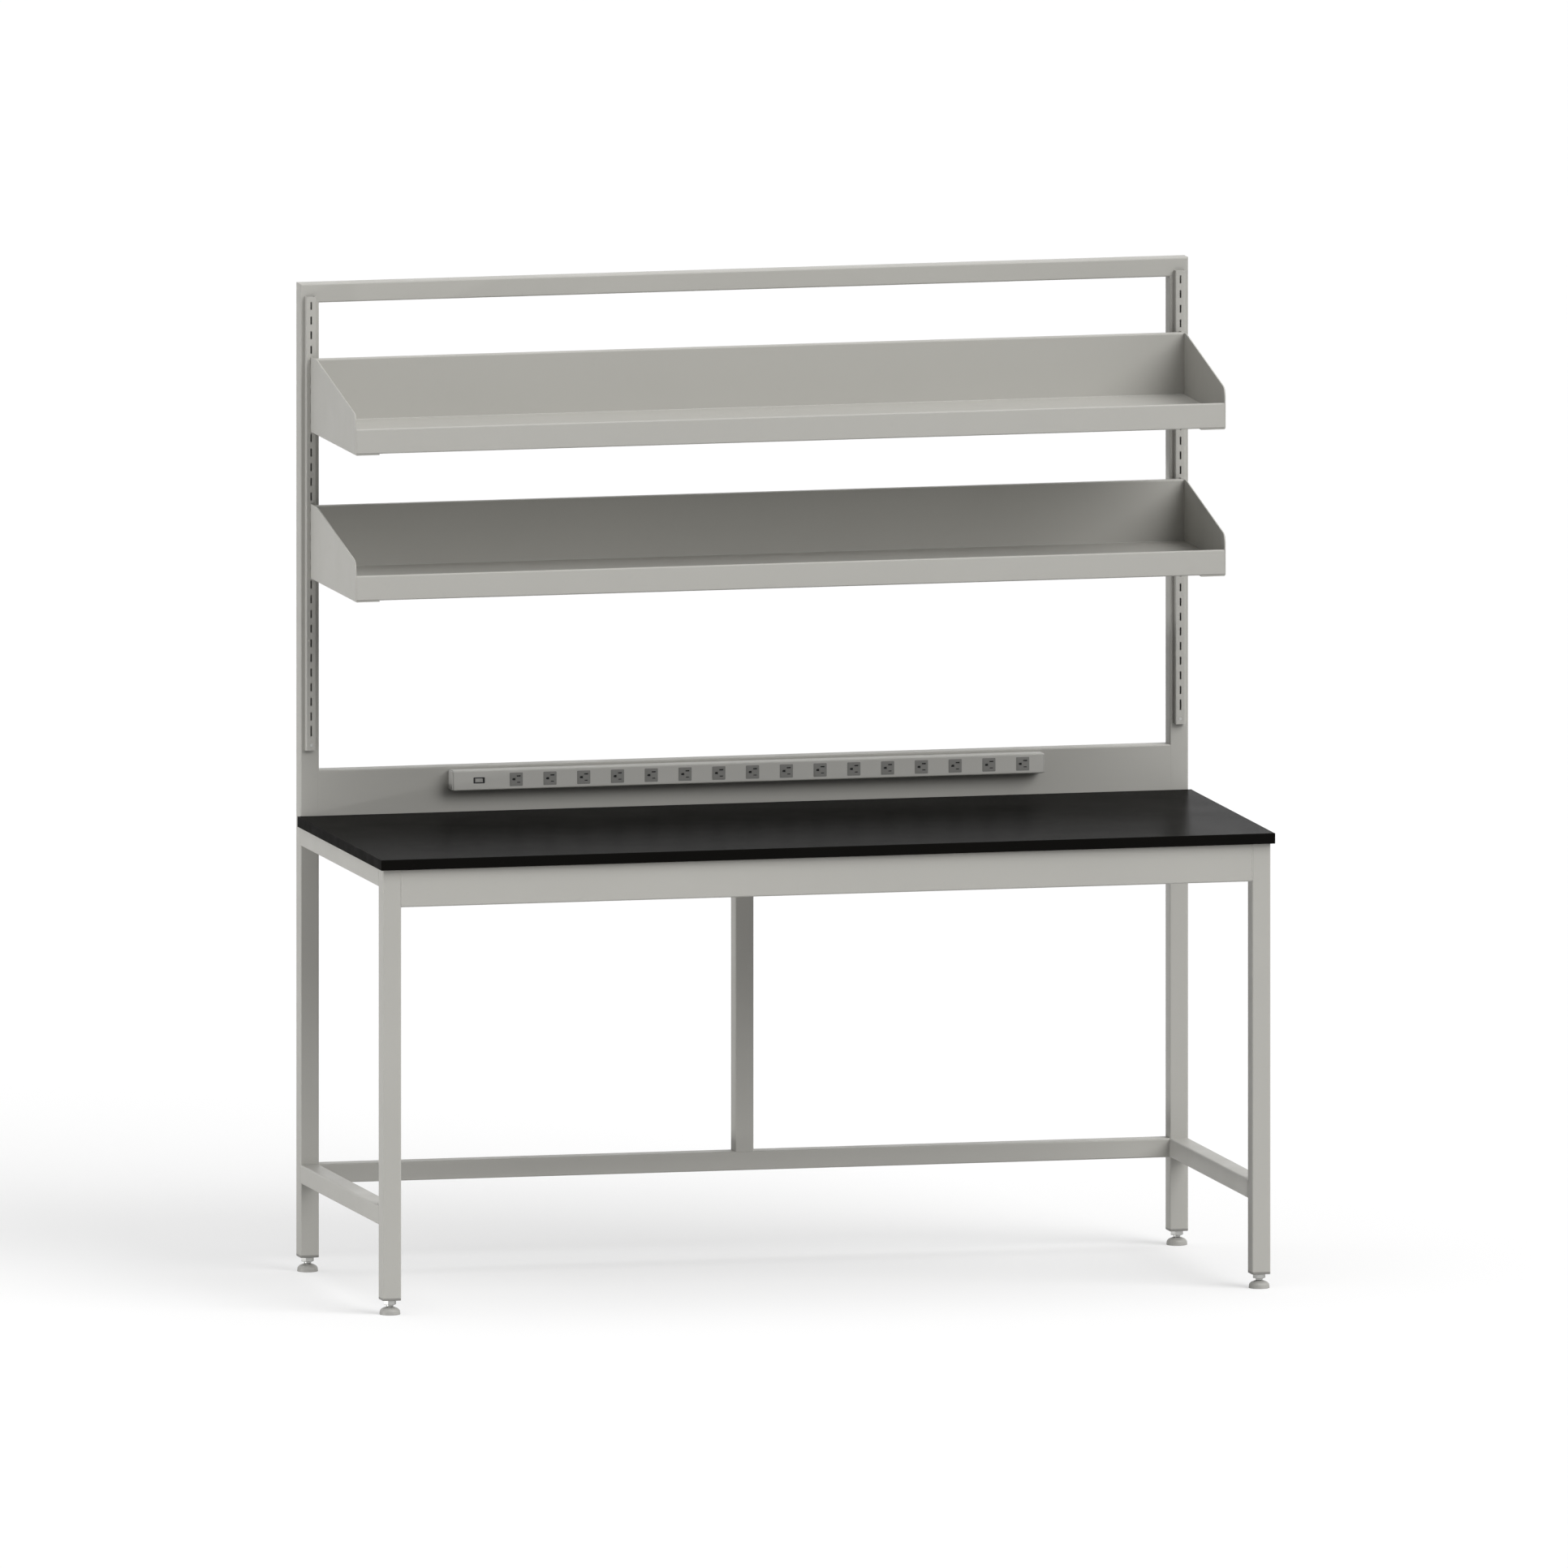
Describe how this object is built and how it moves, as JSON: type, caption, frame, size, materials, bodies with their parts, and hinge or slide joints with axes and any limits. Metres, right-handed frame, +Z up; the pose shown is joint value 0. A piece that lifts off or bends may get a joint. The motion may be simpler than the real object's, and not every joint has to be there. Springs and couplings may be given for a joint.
{
  "type": "lab bench with reagent shelves",
  "caption": "Welded tube lab bench with dark worktop, reagent shelves hung on slotted standards, upstand with power strip and levelling feet.",
  "frame": {"origin": "bottom centre of the whole bench's bounding box, on the floor", "axes": "+X to the right as seen from the front, +Y from the front to the back, +Z up"},
  "size_m": [1.8288, 0.751, 1.9812],
  "materials": {
    "frame_paint": "light warm grey powder coat, fine texture, satin",
    "shelf_paint": "light warm grey powder coat, fine texture, satin",
    "strip_paint": "light warm grey enamel, satin",
    "laminate": "charcoal high-pressure laminate, fine matt texture",
    "backer": "brown phenolic backing sheet, matt",
    "edge_band": "near-black edge band, satin",
    "core_board": "particle board",
    "zinc": "bright zinc plate",
    "brass": "plain brass",
    "cap_plastic": "moulded grey nylon",
    "pad_plastic": "moulded grey nylon",
    "strip_end_plastic": "moulded light grey plastic",
    "outlet_plastic": "moulded mid grey plastic",
    "switch_black": "moulded black plastic",
    "rocker_plastic": "moulded light grey plastic"
  },
  "bodies": {
    "bench": {"front_leg_left": "frame_paint", "front_leg_right": "frame_paint", "rear_upright_left": "frame_paint", "rear_upright_right": "frame_paint", "rear_centre_leg": "frame_paint", "top_crossbar": "frame_paint", "front_apron_rail": "frame_paint", "rear_top_rail": "frame_paint", "side_top_rail_left": "frame_paint", "side_top_rail_right": "frame_paint", "side_lower_rail_left": "frame_paint", "side_lower_rail_right": "frame_paint", "rear_lower_rail": "frame_paint", "worktop_bearer": "frame_paint", "upstand_panel": "frame_paint", "worktop_core": "core_board", "worktop_laminate": "laminate", "worktop_backer": "backer", "worktop_edge_front": "edge_band", "worktop_edge_rear": "edge_band", "worktop_edge_left": "edge_band", "worktop_edge_right": "edge_band", "worktop_screws": "zinc", "shelf_standard_left": "frame_paint", "shelf_standard_right": "frame_paint", "standard_screws": "zinc", "leg_end_caps": "cap_plastic", "leg_threaded_inserts": "zinc", "strip_housing": "strip_paint", "strip_back_plate": "zinc", "strip_end_cap_left": "strip_end_plastic", "strip_end_cap_right": "strip_end_plastic", "strip_clips": "strip_paint", "strip_screws": "zinc", "strip_outlets": "outlet_plastic", "strip_bus_line": "brass", "strip_bus_neutral": "brass", "strip_bus_ground": "brass", "switch_housing": "switch_black", "switch_terminals": "brass"},
    "upper_shelf": {"shelf_tray_upper": "shelf_paint", "bracket_upper_left": "shelf_paint", "bracket_upper_right": "shelf_paint", "shelf_screws_upper": "zinc"},
    "lower_shelf": {"shelf_tray_lower": "shelf_paint", "bracket_lower_left": "shelf_paint", "bracket_lower_right": "shelf_paint", "shelf_screws_lower": "zinc"},
    "rocker": {"switch_rocker": "rocker_plastic"},
    "pad_front_left": {"foot_pad_front_left": "pad_plastic"},
    "stem_front_left": {"foot_stem_front_left": "zinc"},
    "pad_front_right": {"foot_pad_front_right": "pad_plastic"},
    "stem_front_right": {"foot_stem_front_right": "zinc"},
    "pad_rear_left": {"foot_pad_rear_left": "pad_plastic"},
    "stem_rear_left": {"foot_stem_rear_left": "zinc"},
    "pad_rear_right": {"foot_pad_rear_right": "pad_plastic"},
    "stem_rear_right": {"foot_stem_rear_right": "zinc"}
  },
  "joints": [
    {"name": "upper_shelf_lift", "type": "slide", "parent": "bench", "child": "upper_shelf", "axis": [0, 0, 1], "range_m": [0, 0.007]},
    {"name": "lower_shelf_lift", "type": "slide", "parent": "bench", "child": "lower_shelf", "axis": [0, 0, 1], "range_m": [0, 0.007]},
    {"name": "rocker_tilt", "type": "hinge", "parent": "bench", "child": "rocker", "pos_m": [-0.55065, 0.30608, 0.98005], "axis": [0, 0, 1], "range_deg": [0, 18]},
    {"name": "foot_extend_front_left", "type": "slide", "parent": "bench", "child": "pad_front_left", "axis": [0, 0, -1], "range_m": [0, 0.02]},
    {"name": "foot_turn_front_left", "type": "hinge", "parent": "pad_front_left", "child": "stem_front_left", "pos_m": [-0.889, -0.34387, 0.02], "axis": [0, 0, -1], "range_deg": [0, 4116]},
    {"name": "foot_extend_front_right", "type": "slide", "parent": "bench", "child": "pad_front_right", "axis": [0, 0, -1], "range_m": [0, 0.02]},
    {"name": "foot_turn_front_right", "type": "hinge", "parent": "pad_front_right", "child": "stem_front_right", "pos_m": [0.889, -0.34387, 0.02], "axis": [0, 0, -1], "range_deg": [0, 4116]},
    {"name": "foot_extend_rear_left", "type": "slide", "parent": "bench", "child": "pad_rear_left", "axis": [0, 0, -1], "range_m": [0, 0.02]},
    {"name": "foot_turn_rear_left", "type": "hinge", "parent": "pad_rear_left", "child": "stem_rear_left", "pos_m": [-0.889, 0.35463, 0.02], "axis": [0, 0, -1], "range_deg": [0, 4116]},
    {"name": "foot_extend_rear_right", "type": "slide", "parent": "bench", "child": "pad_rear_right", "axis": [0, 0, -1], "range_m": [0, 0.02]},
    {"name": "foot_turn_rear_right", "type": "hinge", "parent": "pad_rear_right", "child": "stem_rear_right", "pos_m": [0.889, 0.35463, 0.02], "axis": [0, 0, -1], "range_deg": [0, 4116]}
  ],
  "couplings": [
    {"joint": "foot_turn_front_left", "follows": "foot_extend_front_left", "rad_per_m": 3590.4},
    {"joint": "foot_turn_front_right", "follows": "foot_extend_front_right", "rad_per_m": 3590.4},
    {"joint": "foot_turn_rear_left", "follows": "foot_extend_rear_left", "rad_per_m": 3590.4},
    {"joint": "foot_turn_rear_right", "follows": "foot_extend_rear_right", "rad_per_m": 3590.4}
  ]
}
